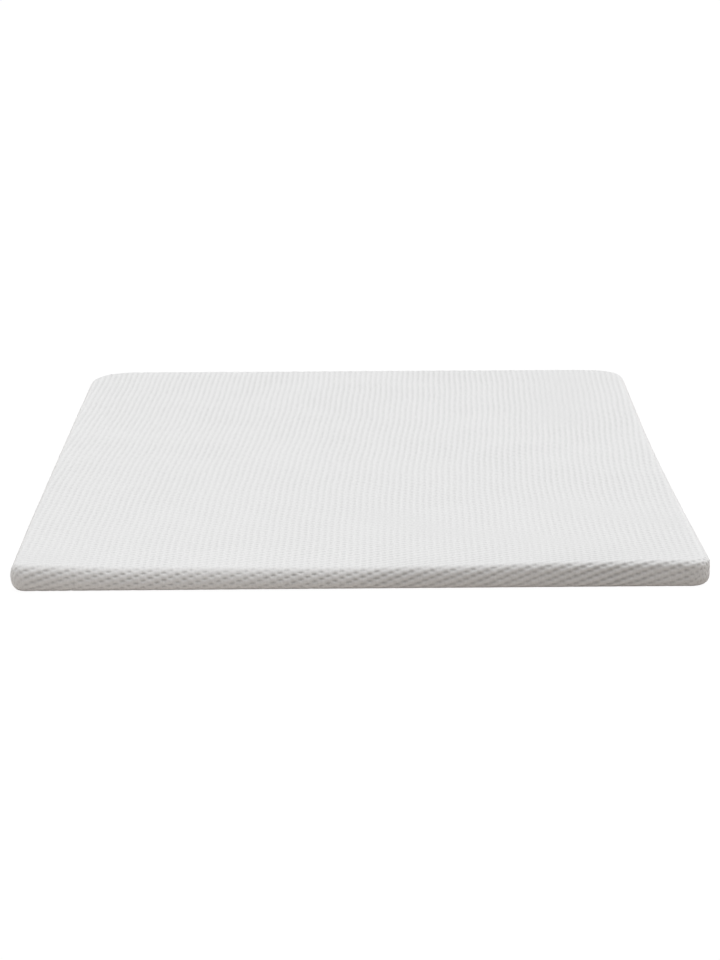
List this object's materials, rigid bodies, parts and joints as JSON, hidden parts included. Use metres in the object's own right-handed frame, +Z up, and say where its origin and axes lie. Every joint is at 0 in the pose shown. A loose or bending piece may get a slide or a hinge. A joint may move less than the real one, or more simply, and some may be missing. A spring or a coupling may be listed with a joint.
{
  "type": "mattress topper",
  "caption": "Flat foam mattress topper for a double bed, in a puffy white knitted cover, with softly rolled edges and rounded corners.",
  "frame": {"origin": "on the resting face, under the middle of the plan", "axes": "+Z up, +Y along the length towards the back, +X to the right seen from the front end"},
  "size_m": [1.35, 1.9, 0.056],
  "materials": {
    "knit_cover": "puffy white polyester knit with small staggered dimples"
  },
  "bodies": {
    "root": {"topper": "knit_cover"}
  },
  "joints": []
}
